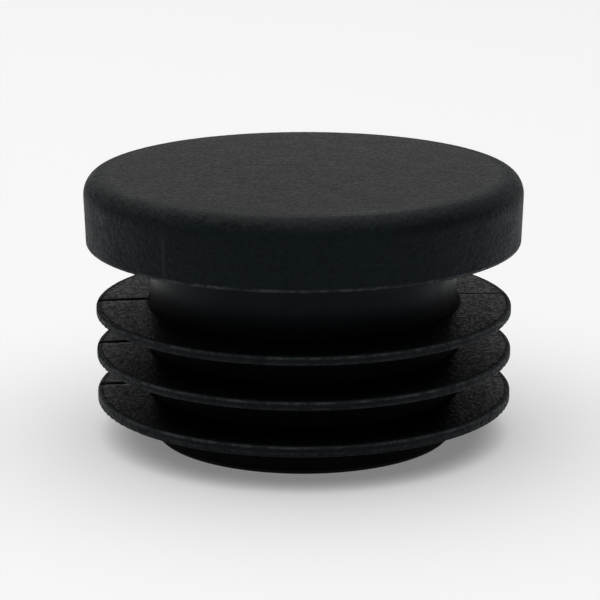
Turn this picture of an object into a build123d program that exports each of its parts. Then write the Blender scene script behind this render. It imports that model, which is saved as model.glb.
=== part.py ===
from build123d import *
from math import radians, tan
import os

# Round ribbed end cap for a tube of 25 mm outside diameter, moulded in one piece.
# A thick head covers the end of the tube, and a hollow stem with thin, flexible ribs
# goes into the bore. Everything is one revolved section, apart from two fine slits
# in the ribs: a full split that lets them flex, and a hairline where the mould parts.
#
# Millimetres and degrees. The origin is on the axis, in the plane where the head
# sits on the end of the tube. +Z runs out of the tube, through the head.

# Head
HEAD_RADIUS = 12.5          # widest, just under the soft top edge
HEAD_HEIGHT = 4.1           # from the tube's end to the middle of the top
HEAD_DRAFT = 2.0            # the side leans in towards the tube
CROWN_RISE = 0.1            # the top is very slightly domed
TOP_EDGE_WIDTH = 0.95       # the soft top edge is a quarter ellipse
TOP_EDGE_HEIGHT = 1.15
LOWER_EDGE_RADIUS = 0.2     # the edge that meets the tube's outside

# Stem
STEM_RADIUS = 8.8           # where it leaves the head
STEM_LENGTH = 11.25
STEM_DRAFT = 0.35           # the stem narrows away from the head
STEM_LEAD_IN = 0.25         # chamfer that starts the stem in the tube
STEM_WALL = 1.6             # at the open end
NECK_FILLET = 0.3           # inner corner between head and stem

# Cavity, open at the end of the stem
TOP_SKIN = 2.0              # plastic left over the middle of the cavity
CAVITY_DRAFT = 1.0
CAVITY_FLOOR_FILLET = 1.0

# Ribs
RIB_RADIUS = 11.9
FIRST_RIB_DEPTH = 3.6       # from the tube's end to the first rim's upper edge
RIB_PITCH = 2.5
RIM_THICKNESSES = (0.5, 0.5, 0.6)   # one for each rib; the last goes in first, so is stouter
RIB_DRAFT = 2.0             # of each face, so a rib is thicker at its root
RIB_RIM_ROUND = 0.12
RIB_ROOT_FILLET = 0.06

# Slits through all the ribs, from the rims in to a land next to the stem
SPLIT_AZIMUTH = 180.0       # the ribs are split here, so that they can flex
SPLIT_WIDTH = 0.28
PARTING_AZIMUTH = 7.0       # a mere hairline, where the mould parts
PARTING_WIDTH = 0.07
SLIT_ROOT_LAND = 0.1        # rib left whole next to the stem

SURFACE_TOLERANCE = 0.001   # a corner this near the stem's surface lies on it


def stem_radius_at(height):
    """Outside radius of the tapered stem at a height, which is negative in the tube."""
    return STEM_RADIUS + height * tan(radians(STEM_DRAFT))


def rim_top_of_rib(index):
    """Height of the upper edge of a rib's rim, counted from the head."""
    return -FIRST_RIB_DEPTH - index * RIB_PITCH


def head_section():
    """Half section of the head: flat seat, drafted side, elliptical edge and faint dome."""
    edge_top = HEAD_HEIGHT - CROWN_RISE
    side_top = edge_top - TOP_EDGE_HEIGHT
    edge_inner = HEAD_RADIUS - TOP_EDGE_WIDTH
    seat_radius = HEAD_RADIUS - side_top * tan(radians(HEAD_DRAFT))
    axis_seat_side = Polyline(
        (0, HEAD_HEIGHT), (0, 0), (seat_radius, 0), (HEAD_RADIUS, side_top)
    )
    soft_edge = EllipticalCenterArc(
        (edge_inner, side_top), TOP_EDGE_WIDTH, TOP_EDGE_HEIGHT, arc_size=90
    )
    dome = TangentArc((0, HEAD_HEIGHT), (edge_inner, edge_top), tangent=(1, 0))
    section = make_face(axis_seat_side + soft_edge + dome)
    lower_corner = section.vertices().sort_by_distance((seat_radius, 0))[0]
    return fillet(lower_corner, LOWER_EDGE_RADIUS)


def stem_section():
    """Half section of the stem before it is hollowed."""
    end_radius = stem_radius_at(-STEM_LENGTH)
    outline = Polyline(
        (0, 0), (STEM_RADIUS, 0), (end_radius, -STEM_LENGTH), (0, -STEM_LENGTH),
        close=True,
    )
    return make_face(outline)


def rib_section(rim_top, rim_thickness):
    """Half section of one rib, from inside the stem's wall to its rounded rim."""
    root_radius = stem_radius_at(rim_top) - STEM_WALL / 2
    rim_bottom = rim_top - rim_thickness
    flare = (RIB_RADIUS - root_radius) * tan(radians(RIB_DRAFT))
    outline = Polyline(
        (root_radius, rim_top + flare), (RIB_RADIUS, rim_top),
        (RIB_RADIUS, rim_bottom), (root_radius, rim_bottom - flare),
        close=True,
    )
    rim_corners = make_face(outline).vertices().sort_by(Axis.X)[-2:]
    return fillet(rim_corners, RIB_RIM_ROUND)


def cavity_section():
    """Half section of the hollow, which narrows from the stem's open end to its floor."""
    mouth_radius = stem_radius_at(-STEM_LENGTH) - STEM_WALL
    floor_height = HEAD_HEIGHT - TOP_SKIN
    depth = floor_height + STEM_LENGTH
    floor_radius = mouth_radius - depth * tan(radians(CAVITY_DRAFT))
    outline = Polyline(
        (0, floor_height), (floor_radius, floor_height),
        (mouth_radius, -STEM_LENGTH), (0, -STEM_LENGTH),
        close=True,
    )
    section = make_face(outline)
    floor_corner = section.vertices().sort_by_distance((floor_radius, floor_height))[0]
    return fillet(floor_corner, CAVITY_FLOOR_FILLET)


def corners_on_stem(section):
    """Corners of a section on the stem's surface, from its open end up to the head."""
    def on_stem(corner):
        return abs(corner.X - stem_radius_at(corner.Y)) < SURFACE_TOLERANCE

    return section.vertices().filter_by(on_stem).sort_by(Axis.Y)


def cap_section():
    """The whole half section: rib roots and neck filleted, stem's end chamfered."""
    section = head_section() + stem_section()
    for index, rim_thickness in enumerate(RIM_THICKNESSES):
        section += rib_section(rim_top_of_rib(index), rim_thickness)
    rib_roots = corners_on_stem(section)[1:-1]
    section = fillet(rib_roots, RIB_ROOT_FILLET)
    neck = corners_on_stem(section)[-1]
    section = fillet(neck, NECK_FILLET)
    stem_end = corners_on_stem(section)[0]
    section = chamfer(stem_end, STEM_LEAD_IN)
    return section - cavity_section()


def slit(azimuth, width):
    """Radial cut through all the ribs, from just outside the stem past their rims."""
    inner = STEM_RADIUS + SLIT_ROOT_LAND
    length = 2 * (RIB_RADIUS - inner)
    highest = rim_top_of_rib(0) + RIB_PITCH / 2
    lowest = rim_top_of_rib(len(RIM_THICKNESSES)) + RIB_PITCH / 2
    centre = (inner + length / 2, 0, (highest + lowest) / 2)
    return Rot(0, 0, azimuth) * Pos(*centre) * Box(length, width, highest - lowest)


def end_cap():
    """The one moulded piece."""
    cap = revolve(Plane.XZ * cap_section(), Axis.Z)
    cap -= slit(SPLIT_AZIMUTH, SPLIT_WIDTH)
    cap -= slit(PARTING_AZIMUTH, PARTING_WIDTH)
    return cap


os.makedirs("parts", exist_ok=True)
export_step(end_cap(), "parts/end_cap.step")
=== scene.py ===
from math import cos, pi, radians, sin

import bpy
from mathutils import Matrix, Vector

# Metres, in the CAD frame: the origin is on the axis, in the plane of the head's
# underside, and +Z runs out through the head. The cap stands on its stem.
MM = 0.001
FLOOR_Z = -11.25 * MM
FLOOR_REACH = 3.0

# Camera, from a fit to the photograph's outlines
CAMERA_TARGET = Vector((-0.2106, 0.0, -3.5655)) * MM
CAMERA_DISTANCE = 149.831 * MM
CAMERA_ELEVATION = 0.2568
CAMERA_ROLL = -0.00191
CAMERA_LENS = 156.312
SENSOR_WIDTH = 36.0
CLIP_START = 0.005
CLIP_END = 20.0

# From here to the light, lengths are millimetres and azimuths are degrees from +X.
# A pair is a smooth change: where it starts, and where it ends. Only a pair whose name
# ends in LINE, RING, EDGE or ACROSS is a band: its centre, and its reach on each side.
# NOISE is a texture's scale, detail and roughness. STRETCH scales x, y and z for one.

# Where the finish changes on the head. The borders of its upper part and of the flat
# are ragged, by the two lengths given.
HEAD_FROM_UNDERSIDE = (-0.1, 0.0)
UPPER_FROM_SIDE = (3.30, 3.80)
FLAT_HEIGHT = (3.82, 3.95)
FLAT_RADIUS = (11.55, 11.15)
OUTER_SIDE = (12.0, 12.2)
RAGGED_NOISE = (2.0, 4.0, 0.75)
RAGGED_SPREAD = (0.3, 0.7)
UPPER_RAGGED = 0.22
FLAT_RAGGED = 0.25

# Where it changes on the stem and the ribs
HOLLOW_HEIGHT = (2.6, 2.5)
HOLLOW_RADIUS = (7.5, 7.3)
OUTSIDE_OF_STEM = (7.4, 7.8)
LOW_NECK = (-1.7, -3.1)
BELOW_NECK = (-3.15, -3.35)
RIM_RADIUS = (11.72, 11.78)
FACE_FROM_ROOT = (8.9, 9.1)
STEM_END_RADIUS = (8.42, 8.50)
STEM_END_HEIGHT = (-10.5, -10.9)
UNDERSIDE_NORMAL = (-0.75, -0.25)
FIRST_RIM_TOP = -3.6
RIB_PITCH = 2.5
RIM_MARGIN = 0.2

# The slits, and the witness line that runs down the side of the head
SPLIT_AZIMUTH = 180.0
HAIRLINE_AZIMUTH = 7.0
WITNESS_AZIMUTH = 233.0
WITNESS_TOP = (2.6, 2.3)
BEHIND_AXIS = (0.5, 0.0)
FAR_AWAY = 50.0

# Colours, as linear red, green, blue and alpha. The zone colours are copies of one black plastic
# with painted light and shade: the flat and the rounding painted lighter where light falls from
# above, the side, the neck and the rims painted darker and bluish for shade lit by cool light from
# the front, and the neck's foot and the ribs painted near black for the head's shadow.
SHADED_NECK_COLOUR = (0.0006, 0.0046, 0.0084, 1)
LOW_NECK_SHADOW_COLOUR = (0.0003, 0.0014, 0.0026, 1)
SHADED_SIDE_COLOUR = (0.0036, 0.0074, 0.0102, 1)
HOLLOW_COLOUR = (0.0070, 0.0080, 0.0085, 1)
HALF_LIT_ROUNDING_COLOUR = (0.0082, 0.0096, 0.0098, 1)
RIGHT_SHADE_COLOUR = (0.0028, 0.0052, 0.0068, 1)
SHOULDER_SHADE_COLOUR = (0.0006, 0.0018, 0.0028, 1)
LIT_FLAT_COLOUR = (0.0118, 0.0130, 0.0125, 1)
SHADED_RIM_COLOUR = (0.0036, 0.0062, 0.0078, 1)
RIB_SHADOW_COLOUR = (0.0015, 0.0018, 0.0020, 1)
# A pale colour for painted highlights on the rims and the head's lower edge, and for the pale
# marks at the flat's edge and the witness line
HIGHLIGHT_AND_MARK_COLOUR = (0.065, 0.074, 0.078, 1)

# The rounding is pitted, and it and the shoulder below it grow darker towards +X, a painted shade
# for the weaker light on that side
PIT_NOISE = (3.0, 3.0, 0.7)
PIT_SPREAD = (0.42, 0.60)
PIT_LEAST = 0.35
DIM_SPAN = (-3.0, 10.5)
DIM_SHARE = 0.9
SHOULDER_RING = (3.15, 0.7)
SHOULDER_SPAN = (3.0, 8.0)
SHOULDER_SHARE = 0.85

# How much each kind of variation counts in the colour's brightness
FINISH_STRETCH = (1.0, 0.55, 1.0)
FLECK_NOISE = (4.5, 3.0, 0.65)
FLECK_SPREAD = (0.38, 0.62)
MOTTLE_NOISE = (0.5, 4.0, 0.6)
# Painted light: the broad change makes the whole cap lighter towards +X
RIGHT_LIGHT_SPAN = (-12.0, 12.0)
PLAIN_SHARE = 0.5
FLECK_SHARE = 0.5
MOTTLE_SHARE = 0.3
RIGHT_LIGHT_SHARE = 0.2

# Painted highlights on the rims: streaks along two lines, measured down from RIM_MARGIN above the
# top
RIM_UPPER_LINE = (0.28, 0.1)
RIM_LOWER_LINE = (0.60, 0.12)
LOWER_LINE_SHARE = 0.4
STREAK_STRETCH = (1.0, 1.0, 0.5)
STREAK_NOISE = (1.1, 5.0, 0.8)
STREAK_SPREAD = (0.42, 0.60)
STREAK_LEAST = 0.15
RIM_HIGHLIGHT = 0.8

# Pale marks on the head: a painted highlight along its lower edge, a faint pale ring at the edge
# of its flat with pale patches on it at the front, and the witness line
EDGE_MARK_NOISE = (3.0, 3.0, 0.6)
LOWER_EDGE = (0.13, 0.15)
LOWER_HIGHLIGHT_SPREAD = (0.40, 0.60)
LOWER_HIGHLIGHT_LEAST = 0.35
SPAN_NOISE = (0.7, 2.0, 0.5)
SPAN_SPREAD = (0.38, 0.52)
SPAN_LEAST = 0.4
FLAT_EDGE = (11.0, 0.5)
FLAT_EDGE_SPREAD = (0.38, 0.62)
FLAT_EDGE_SHARE = 0.16
FRONT_PATCH_NOISE = (3.6, 4.0, 0.7)
FRONT_PATCH_SPREAD = (0.48, 0.62)
FRONT_PATCH_RING = (11.2, 0.6)
FRONT_PATCH_Y = (-8.5, -9.5)
FRONT_PATCH_ACROSS = (4.0, 3.6)
FRONT_PATCH_SHARE = 0.8
WITNESS_LINE = (0.0, 0.17)
WITNESS_WEAR = 0.22

# Shine: one specular level all over, the neck's roughness, and what each zone adds to it
SPECULAR = 0.1
NECK_ROUGHNESS = 0.40
ROUGHNESS_NOISE = (0.8, 3.0, 0.6)
ROUGHNESS_SPREAD = (0.3, 0.7)
ROUGHNESS_SWING = 0.03
UPPER_ROUGHER = -0.02
SIDE_ROUGHER = 0.11
RIM_ROUGHER = 0.08
ROOT_ROUGHER = 0.35
LOW_NECK_ROUGHER = 0.25
FACE_ROUGHER = -0.10
FACE_EDGE = (11.66, 0.12)
FACE_EDGE_ROUGHER = 0.3
SPECKLE_NOISE = (6.0, 2.0, 0.6)
SPECKLE_SPREAD = (0.42, 0.58)
FACE_SPECKLE = 0.23
HEAD_SPECKLE = 0.12
RIM_SPECKLE = 0.25

# Moulded grain: pebbles and grit, each with its depth in every zone
GRAIN_STRETCH = (1.0, 0.66, 1.0)
PEBBLE_SCALE = 3.6
PEBBLE_SMOOTHNESS = 0.5
PEBBLE_ON_FACES = 0.012
PEBBLE_ON_HEAD = 0.030
PEBBLE_ALL_OVER = 0.004
GRIT_NOISE = (5.5, 3.0, 0.7)
GRIT_ON_FACES = 0.022
GRIT_ON_HEAD = 0.035
GRIT_ON_RIMS = 0.03
GRIT_RING = (11.5, 0.7)
GRIT_ON_RING = 0.045
GRIT_ALL_OVER = 0.006

# Larger relief: how it changes away from a line or from the axis, and its height
SPLIT_LIPS = (0.46, 0.12)
SPLIT_SINK = -0.16
HAIRLINE_LIPS = (0.20, 0.03)
HAIRLINE_SINK = -0.06
FIRST_RIB_ONLY = (-5.2, -5.0)
FLAT_BEVEL = (10.95, 11.45)
FLAT_BEVEL_SINK = -0.045
SOFT_BEVEL = (9.9, 11.6)
SOFT_BEVEL_SINK = -0.13
SOFT_ACROSS = (-5.0, 6.0)
SOFT_FRONT = (-7.0, -9.0)
WITNESS_RIDGE = (0.16, 0.03)
WITNESS_HEIGHT = 0.01

# Light: one broad lamp above, in metres and watts
LAMP_SPOT = (-0.10, 0.0, 0.45)
LAMP_TARGET = (-0.10, 0.0, 0.0)
LAMP_SIZE = 1.15
LAMP_POWER = 4.1

# Floor: its colour, its colour for the light that it passes on to the cap, and the
# glow that is added where the camera or a reflection sees it
FLOOR_COLOUR = 0.9
FLOOR_FOR_BOUNCES = 0.5
FLOOR_SHOWN = 0.2

# Glow of the floor under the stem, by millimetres from the axis. The stem stands on
# the floor, so without this glow its hollow and its end would be black from below.
STEM_END_SPAN = (8.5, 8.3)
STEM_END_GLOW = 0.5
MOUTH_SPAN = (7.0, 6.8)
HOLLOW_GLOW = 4.0

# World: a plain level, and a soft low glow behind the cap, a little to its right. One
# backdrop is added where the camera sees the world, the other where a reflection does.
AMBIENT = 0.045
BACK_GLOW = 0.20
BACK_DIRECTION = (0.342, 0.940, 0.0)
BACK_SPREAD = (0.3, 0.7)
BACK_TOP = (0.4, 0.6)
BACKDROP = 0.75
REFLECTED_BACKDROP = 0.14


class Graph:
    """A node tree, with a short call for each kind of step."""

    def __init__(self, tree):
        self.tree = tree

    def feed(self, socket, value):
        """Link a socket to another node's output, or set it to a plain value."""
        if isinstance(value, bpy.types.NodeSocket):
            self.tree.links.new(value, socket)
        else:
            socket.default_value = value

    def node(self, kind, **inputs):
        """A new node, with each named input linked or set."""
        made = self.tree.nodes.new(kind)
        for name, value in inputs.items():
            self.feed(made.inputs[name], value)
        return made

    def math(self, operation, *values):
        made = self.tree.nodes.new("ShaderNodeMath")
        made.operation = operation
        for socket, value in zip(made.inputs, values):
            self.feed(socket, value)
        return made.outputs[0]

    def folded(self, operation, values):
        """One value from several, taken in one after the other."""
        result = values[0]
        for value in values[1:]:
            result = self.math(operation, result, value)
        return result

    def product(self, *values):
        return self.folded("MULTIPLY", values)

    def total(self, *values):
        return self.folded("ADD", values)

    def greatest(self, *values):
        return self.folded("MAXIMUM", values)

    def less(self, value, taken):
        return self.math("SUBTRACT", value, taken)

    def step(self, value, change, low=0.0, high=1.0):
        """Smooth change from low to high as the value goes from one number to the other."""
        start, end = change
        made = self.tree.nodes.new("ShaderNodeMapRange")
        made.interpolation_type = "SMOOTHSTEP"
        for name, number in (("Value", value), ("From Min", start), ("From Max", end),
                             ("To Min", low), ("To Max", high)):
            self.feed(made.inputs[name], number)
        return made.outputs[0]

    def near(self, value, band):
        """One at the band's centre, falling smoothly to nothing at its reach."""
        centre, reach = band
        away = self.math("ABSOLUTE", self.less(value, centre))
        return self.step(away, (0.0, reach), 1.0, 0.0)

    def noise(self, place, scale, detail, roughness):
        made = self.node("ShaderNodeTexNoise", Vector=place, Scale=scale, Detail=detail,
                         Roughness=roughness)
        return made.outputs["Fac"]

    def cells(self, place, scale, smoothness):
        """Rounded pebbles: low at each cell's middle, high at its border."""
        made = self.tree.nodes.new("ShaderNodeTexVoronoi")
        made.feature = "SMOOTH_F1"
        self.feed(made.inputs["Vector"], place)
        self.feed(made.inputs["Scale"], scale)
        self.feed(made.inputs["Smoothness"], smoothness)
        return made.outputs["Distance"]

    def vector_node(self, operation, *vectors):
        made = self.tree.nodes.new("ShaderNodeVectorMath")
        made.operation = operation
        for socket, vector in zip(made.inputs, vectors):
            self.feed(socket, vector)
        return made

    def scaled(self, vector, factors):
        return self.vector_node("MULTIPLY", vector, factors).outputs["Vector"]

    def length(self, vector):
        return self.vector_node("LENGTH", vector).outputs["Value"]

    def dot(self, first, second):
        return self.vector_node("DOT_PRODUCT", first, second).outputs["Value"]

    def split(self, vector):
        return self.node("ShaderNodeSeparateXYZ", Vector=vector).outputs

    def coordinates(self, kind):
        return self.node("ShaderNodeTexCoord").outputs[kind]

    def colour_mix(self, factor, first, second):
        made = self.tree.nodes.new("ShaderNodeMix")
        made.data_type = "RGBA"
        inputs = {socket.identifier: socket for socket in made.inputs}
        outputs = {socket.identifier: socket for socket in made.outputs}
        self.feed(inputs["Factor_Float"], factor)
        self.feed(inputs["A_Color"], first)
        self.feed(inputs["B_Color"], second)
        return outputs["Result_Color"]


class Zones:
    """Where on the cap a point lies, from its place in millimetres."""

    def __init__(self, graph):
        self.graph = graph
        self.place = graph.scaled(graph.coordinates("Object"), (1 / MM, 1 / MM, 1 / MM))
        self.x, self.y, self.z = graph.split(self.place)
        self.radius = graph.math("SQRT", graph.total(
            graph.product(self.x, self.x), graph.product(self.y, self.y)))
        self.mark_head()
        self.mark_stem()
        self.mark_ribs()

    def mark_head(self):
        """The head, its upper part above the side, and the flat within the rounding."""
        graph = self.graph
        ragged = graph.step(graph.noise(self.place, *RAGGED_NOISE), RAGGED_SPREAD, -1.0, 1.0)
        height = graph.total(self.z, graph.product(ragged, UPPER_RAGGED))
        radius = graph.total(self.radius, graph.product(ragged, FLAT_RAGGED))
        self.head = graph.step(self.z, HEAD_FROM_UNDERSIDE)
        self.upper = graph.step(height, UPPER_FROM_SIDE)
        self.flat = graph.product(graph.step(self.z, FLAT_HEIGHT), graph.step(radius, FLAT_RADIUS))

    def mark_stem(self):
        """The hollow, the stem's outside, all below the neck, and the neck's own foot."""
        graph = self.graph
        self.hollow = graph.product(graph.step(self.z, HOLLOW_HEIGHT),
                                    graph.step(self.radius, HOLLOW_RADIUS))
        self.outside = graph.step(self.radius, OUTSIDE_OF_STEM)
        self.below = graph.step(self.z, BELOW_NECK)
        self.low_neck = graph.product(graph.step(self.z, LOW_NECK), graph.less(1.0, self.below),
                                      self.outside)

    def mark_ribs(self):
        """The rims, the deep rest with its faces and roots, and the way down from a rim."""
        graph = self.graph
        self.rims = graph.product(self.below, graph.step(self.radius, RIM_RADIUS))
        self.deep = graph.product(self.below, graph.less(1.0, self.rims), self.not_under(),
                                  self.outside)
        self.faces = graph.product(self.deep, graph.step(self.radius, FACE_FROM_ROOT))
        self.roots = graph.less(self.deep, self.faces)
        drop = graph.less(FIRST_RIM_TOP, self.z)
        self.below_rim_top = graph.math("MODULO", graph.total(drop, RIM_MARGIN), RIB_PITCH)

    def not_under(self):
        """Nothing on the undersides, apart from the chamfer at the stem's end."""
        graph = self.graph
        normal = graph.node("ShaderNodeNewGeometry").outputs["True Normal"]
        chamfer = graph.product(graph.step(self.radius, STEM_END_RADIUS),
                                graph.step(self.z, STEM_END_HEIGHT))
        return graph.greatest(chamfer, graph.step(graph.split(normal)["Z"], UNDERSIDE_NORMAL))

    def from_plane(self, azimuth):
        """Distance from the half plane that runs out from the axis at an azimuth.

        Points behind the axis count as far away.
        """
        graph = self.graph
        turn_cos, turn_sin = cos(radians(azimuth)), sin(radians(azimuth))
        across = graph.less(graph.product(self.y, turn_cos), graph.product(self.x, turn_sin))
        along = graph.total(graph.product(self.x, turn_cos), graph.product(self.y, turn_sin))
        behind = graph.step(along, BEHIND_AXIS, 0.0, FAR_AWAY)
        return graph.total(graph.math("ABSOLUTE", across), behind)

    def witness(self, profile):
        """A profile across the witness line, kept to the side of the head."""
        graph = self.graph
        return graph.product(profile, self.head, graph.step(self.z, WITNESS_TOP),
                             graph.step(self.radius, OUTER_SIDE))


def grain(graph, zones):
    """Height of the moulded grain, in millimetres."""
    place = graph.scaled(zones.place, GRAIN_STRETCH)
    pebble_depth = graph.total(graph.product(zones.faces, PEBBLE_ON_FACES),
                               graph.product(zones.head, PEBBLE_ON_HEAD), PEBBLE_ALL_OVER)
    ring = graph.product(graph.near(zones.radius, GRIT_RING), zones.upper, GRIT_ON_RING)
    grit_depth = graph.total(graph.product(zones.faces, GRIT_ON_FACES),
                             graph.product(zones.head, GRIT_ON_HEAD),
                             graph.product(zones.rims, GRIT_ON_RIMS), ring, GRIT_ALL_OVER)
    pebbles = graph.cells(place, PEBBLE_SCALE, PEBBLE_SMOOTHNESS)
    grit = graph.noise(place, *GRIT_NOISE)
    return graph.total(graph.product(pebbles, pebble_depth), graph.product(grit, grit_depth))


def relief(graph, zones):
    """Height of the slits' lips, the bevels at the flat's edge and the witness line."""
    split = graph.product(graph.step(zones.from_plane(SPLIT_AZIMUTH), SPLIT_LIPS),
                          zones.faces, SPLIT_SINK)
    hairline = graph.product(graph.step(zones.from_plane(HAIRLINE_AZIMUTH), HAIRLINE_LIPS),
                             zones.faces, graph.step(zones.z, FIRST_RIB_ONLY), HAIRLINE_SINK)
    bevel = graph.product(graph.step(zones.radius, FLAT_BEVEL), zones.upper, FLAT_BEVEL_SINK)
    soft = graph.product(graph.near(zones.x, SOFT_ACROSS), graph.step(zones.y, SOFT_FRONT),
                         graph.step(zones.radius, SOFT_BEVEL), zones.upper, SOFT_BEVEL_SINK)
    ridge = zones.witness(graph.step(zones.from_plane(WITNESS_AZIMUTH), WITNESS_RIDGE))
    return graph.total(split, hairline, bevel, soft, graph.product(ridge, WITNESS_HEIGHT))


def lit_and_shaded_colour(graph, zones):
    """Each zone's colour, laid over those before it: painted light and shade on one black."""
    pits = graph.step(graph.noise(zones.place, *PIT_NOISE), PIT_SPREAD, PIT_LEAST, 1.0)
    rounding = graph.product(zones.upper, pits)
    # Painted shade: the rounding and the shoulder darker towards +X
    right_shade = graph.product(zones.upper, graph.step(zones.x, DIM_SPAN), DIM_SHARE)
    shoulder_shade = graph.product(graph.near(zones.z, SHOULDER_RING),
                             graph.step(zones.x, SHOULDER_SPAN), SHOULDER_SHARE)
    # Painted light and shade: lighter on the flat and the rounding, darker and bluish on the side,
    # the neck and the rims, near black on the neck's foot and the ribs
    layers = (
        (zones.head, SHADED_SIDE_COLOUR), (zones.hollow, HOLLOW_COLOUR),
        (rounding, HALF_LIT_ROUNDING_COLOUR), (right_shade, RIGHT_SHADE_COLOUR), (shoulder_shade, SHOULDER_SHADE_COLOUR),
        (zones.flat, LIT_FLAT_COLOUR), (zones.low_neck, LOW_NECK_SHADOW_COLOUR),
        (zones.deep, RIB_SHADOW_COLOUR), (zones.rims, SHADED_RIM_COLOUR),
    )
    colour = SHADED_NECK_COLOUR
    for share, over in layers:
        colour = graph.colour_mix(share, colour, over)
    return colour


def varied(graph, zones, colour):
    """The colour made lighter and darker in flecks and in a mottle, and lighter towards +X across
    the whole cap, which is painted light.
    """
    place = graph.scaled(zones.place, FINISH_STRETCH)
    flecks = graph.step(graph.noise(place, *FLECK_NOISE), FLECK_SPREAD)
    mottle = graph.noise(zones.place, *MOTTLE_NOISE)
    right_light = graph.step(zones.x, RIGHT_LIGHT_SPAN)
    value = graph.total(PLAIN_SHARE, graph.product(flecks, FLECK_SHARE),
                        graph.product(mottle, MOTTLE_SHARE), graph.product(right_light, RIGHT_LIGHT_SHARE))
    return graph.node("ShaderNodeHueSaturation", Value=value, Color=colour).outputs[0]


def rim_highlights(graph, zones):
    """Painted highlights in pale streaks along the two edges of each rim."""
    place = graph.scaled(zones.place, STREAK_STRETCH)
    streaks = graph.step(graph.noise(place, *STREAK_NOISE), STREAK_SPREAD, STREAK_LEAST, 1.0)
    upper_line = graph.near(zones.below_rim_top, RIM_UPPER_LINE)
    lower_line = graph.product(graph.near(zones.below_rim_top, RIM_LOWER_LINE), LOWER_LINE_SHARE)
    return graph.product(graph.total(upper_line, lower_line), zones.rims, streaks, RIM_HIGHLIGHT)


def flat_edge_marks(graph, zones, mark_noise):
    """A faint pale ring at the edge of the flat, and pale patches on it at the front."""
    ring = graph.product(graph.near(zones.radius, FLAT_EDGE), zones.flat,
                         graph.step(mark_noise, FLAT_EDGE_SPREAD), FLAT_EDGE_SHARE)
    front = graph.product(graph.step(zones.y, FRONT_PATCH_Y), graph.near(zones.x, FRONT_PATCH_ACROSS))
    patchy = graph.step(graph.noise(zones.place, *FRONT_PATCH_NOISE), FRONT_PATCH_SPREAD)
    front_patch = graph.product(graph.near(zones.radius, FRONT_PATCH_RING), zones.upper, patchy, front,
                          FRONT_PATCH_SHARE)
    return graph.total(ring, front_patch)


def lower_edge_highlight(graph, zones, mark_noise):
    """A painted highlight along spans of the head's lower edge, broken up by noise."""
    broken_highlight = graph.step(mark_noise, LOWER_HIGHLIGHT_SPREAD, LOWER_HIGHLIGHT_LEAST, 1.0)
    spans = graph.step(graph.noise(zones.place, *SPAN_NOISE), SPAN_SPREAD, SPAN_LEAST, 1.0)
    return graph.product(graph.near(zones.z, LOWER_EDGE), graph.step(zones.radius, OUTER_SIDE),
                         broken_highlight, spans)


def highlights_and_marks(graph, zones):
    """How far the colour has gone to the pale one: painted highlights on the rims and the head's
    lower edge, pale marks at the flat's edge, and the witness line.
    """
    mark_noise = graph.noise(zones.place, *EDGE_MARK_NOISE)
    line = zones.witness(graph.near(zones.from_plane(WITNESS_AZIMUTH), WITNESS_LINE))
    return graph.greatest(rim_highlights(graph, zones), graph.product(line, WITNESS_WEAR),
                          flat_edge_marks(graph, zones, mark_noise), lower_edge_highlight(graph, zones, mark_noise))


def roughness(graph, zones):
    """Rougher on the side, the rims and the roots, and speckled where there is grain."""
    swing = graph.step(graph.noise(zones.place, *ROUGHNESS_NOISE), ROUGHNESS_SPREAD,
                       -ROUGHNESS_SWING, ROUGHNESS_SWING)
    place = graph.scaled(zones.place, FINISH_STRETCH)
    speckle = graph.step(graph.noise(place, *SPECKLE_NOISE), SPECKLE_SPREAD)
    side = graph.less(zones.head, zones.upper)
    face_edge = graph.product(zones.faces, graph.near(zones.radius, FACE_EDGE))
    return graph.total(
        swing, NECK_ROUGHNESS,
        graph.product(zones.upper, UPPER_ROUGHER),
        graph.product(side, SIDE_ROUGHER),
        graph.product(zones.rims, RIM_ROUGHER),
        graph.product(zones.roots, ROOT_ROUGHER),
        graph.product(zones.low_neck, LOW_NECK_ROUGHER),
        graph.product(zones.faces, FACE_ROUGHER),
        graph.product(face_edge, FACE_EDGE_ROUGHER),
        graph.product(speckle, zones.faces, FACE_SPECKLE),
        graph.product(speckle, zones.head, HEAD_SPECKLE),
        graph.product(speckle, zones.rims, RIM_SPECKLE))


def new_material(name):
    """A material that uses nodes, and the graph of its tree."""
    material = bpy.data.materials.new(name)
    material.use_nodes = True
    return material, Graph(material.node_tree)


def black_plastic():
    """Matte black polyethylene with a moulded grain, painted light and shade by zone, and pale
    marks on its edges, most of them painted highlights.
    """
    material, graph = new_material("black_plastic")
    zones = Zones(graph)
    shader = graph.tree.nodes["Principled BSDF"]
    colour = varied(graph, zones, lit_and_shaded_colour(graph, zones))
    height = graph.total(grain(graph, zones), relief(graph, zones))
    bump = graph.node("ShaderNodeBump", Distance=MM, Height=height)
    graph.feed(shader.inputs["Base Color"],
               graph.colour_mix(highlights_and_marks(graph, zones), colour, HIGHLIGHT_AND_MARK_COLOUR))
    graph.feed(shader.inputs["Roughness"], roughness(graph, zones))
    graph.feed(shader.inputs["Specular IOR Level"], SPECULAR)
    graph.feed(shader.inputs["Normal"], bump.outputs[0])
    return material


def make_camera():
    """The photograph's camera, in front of the cap and a little above it."""
    data = bpy.data.cameras.new("camera")
    data.lens = CAMERA_LENS
    data.sensor_width = SENSOR_WIDTH
    data.clip_start = CLIP_START
    data.clip_end = CLIP_END
    camera = bpy.data.objects.new("camera", data)
    bpy.context.scene.collection.objects.link(camera)
    back = Vector((0.0, -cos(CAMERA_ELEVATION), sin(CAMERA_ELEVATION)))
    spot = CAMERA_TARGET + back * CAMERA_DISTANCE
    tilt = Matrix.Rotation(pi / 2 - CAMERA_ELEVATION, 4, "X")
    roll = Matrix.Rotation(CAMERA_ROLL, 4, "Z")
    camera.matrix_world = Matrix.Translation(spot) @ tilt @ roll
    bpy.context.scene.camera = camera


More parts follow.
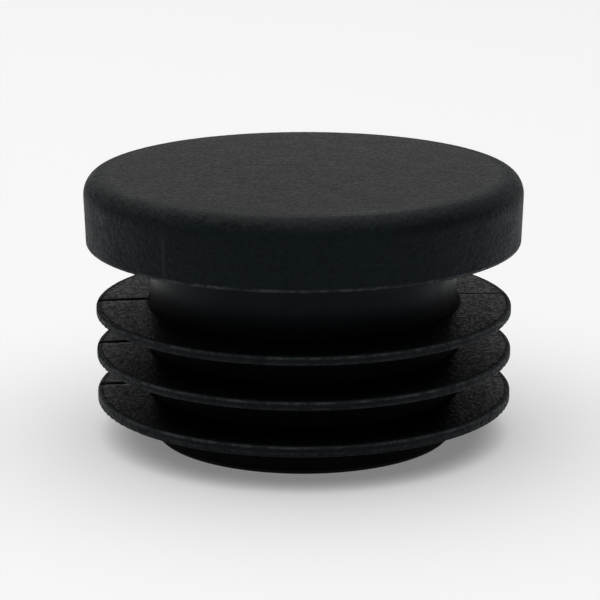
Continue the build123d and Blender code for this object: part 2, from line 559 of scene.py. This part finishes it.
def make_lamp():
    """A broad round lamp above the cap."""
    data = bpy.data.lights.new("overhead", "AREA")
    data.shape = "DISK"
    data.size = LAMP_SIZE
    data.energy = LAMP_POWER
    lamp = bpy.data.objects.new("overhead", data)
    lamp.location = LAMP_SPOT
    aim = Vector(LAMP_TARGET) - Vector(LAMP_SPOT)
    lamp.rotation_euler = aim.to_track_quat("-Z", "Y").to_euler()
    bpy.context.scene.collection.objects.link(lamp)


def floor_glow(graph, path):
    """What the floor gives off: a little where it is seen, and more under the stem.

    The camera doesn't see the glow under the stem.
    """
    seen = graph.greatest(path["Is Camera Ray"], path["Is Glossy Ray"],
                          path["Is Transmission Ray"])
    radius = graph.length(graph.scaled(graph.coordinates("Object"), (1 / MM, 1 / MM, 0.0)))
    under_stem = graph.total(
        graph.step(radius, STEM_END_SPAN, 0.0, STEM_END_GLOW),
        graph.step(radius, MOUTH_SPAN, 0.0, HOLLOW_GLOW - STEM_END_GLOW))
    unseen = graph.less(1.0, path["Is Camera Ray"])
    return graph.greatest(graph.product(seen, FLOOR_SHOWN), graph.product(under_stem, unseen))


def floor_material():
    """Pale floor that is see-through from below."""
    material, graph = new_material("floor")
    nodes = graph.tree.nodes
    nodes.remove(nodes["Principled BSDF"])
    path = graph.node("ShaderNodeLightPath").outputs
    colour = graph.colour_mix(path["Is Diffuse Ray"], (FLOOR_COLOUR,) * 3 + (1,),
                              (FLOOR_FOR_BOUNCES,) * 3 + (1,))
    diffuse = graph.node("ShaderNodeBsdfDiffuse", Color=colour)
    glow = graph.node("ShaderNodeEmission", Strength=floor_glow(graph, path))
    lit = nodes.new("ShaderNodeAddShader")
    graph.feed(lit.inputs[0], diffuse.outputs[0])
    graph.feed(lit.inputs[1], glow.outputs[0])
    clear = nodes.new("ShaderNodeBsdfTransparent")
    from_below = graph.node("ShaderNodeNewGeometry").outputs["Backfacing"]
    either = nodes.new("ShaderNodeMixShader")
    graph.feed(either.inputs[0], from_below)
    graph.feed(either.inputs[1], lit.outputs[0])
    graph.feed(either.inputs[2], clear.outputs[0])
    graph.feed(nodes["Material Output"].inputs["Surface"], either.outputs[0])
    return material


def make_floor():
    """A wide flat floor at the stem's end."""
    mesh = bpy.data.meshes.new("floor")
    corners = [(x * FLOOR_REACH, y * FLOOR_REACH, FLOOR_Z)
               for x, y in ((-1, -1), (1, -1), (1, 1), (-1, 1))]
    mesh.from_pydata(corners, [], [(0, 1, 2, 3)])
    mesh.materials.append(floor_material())
    floor = bpy.data.objects.new("floor", mesh)
    bpy.context.scene.collection.objects.link(floor)


def make_world():
    """A plain studio, with a pale backdrop and a soft low glow behind the cap."""
    world = bpy.data.worlds.new("studio")
    bpy.context.scene.world = world
    world.use_nodes = True
    graph = Graph(world.node_tree)
    graph.tree.nodes.clear()
    direction = graph.coordinates("Generated")
    behind = graph.step(graph.dot(direction, BACK_DIRECTION), BACK_SPREAD)
    low = graph.step(graph.split(direction)["Z"], BACK_TOP, 1.0, 0.0)
    path = graph.node("ShaderNodeLightPath").outputs
    seen = graph.greatest(path["Is Camera Ray"], path["Is Transmission Ray"])
    strength = graph.total(graph.product(behind, low, BACK_GLOW), AMBIENT,
                           graph.product(seen, BACKDROP),
                           graph.product(path["Is Glossy Ray"], REFLECTED_BACKDROP))
    light = graph.node("ShaderNodeBackground", Color=(1, 1, 1, 1), Strength=strength)
    graph.node("ShaderNodeOutputWorld", Surface=light.outputs[0])


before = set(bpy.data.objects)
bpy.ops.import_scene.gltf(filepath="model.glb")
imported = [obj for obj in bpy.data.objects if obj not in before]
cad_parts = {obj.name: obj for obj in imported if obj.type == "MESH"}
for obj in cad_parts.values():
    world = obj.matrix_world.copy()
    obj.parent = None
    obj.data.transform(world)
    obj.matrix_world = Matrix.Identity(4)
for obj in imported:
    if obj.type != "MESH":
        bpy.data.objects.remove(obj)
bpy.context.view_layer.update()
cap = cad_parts["end_cap"]
cap.data.materials.clear()
cap.data.materials.append(black_plastic())
make_camera()
make_floor()
make_world()
make_lamp()
scene = bpy.context.scene
scene.view_settings.view_transform = "Standard"
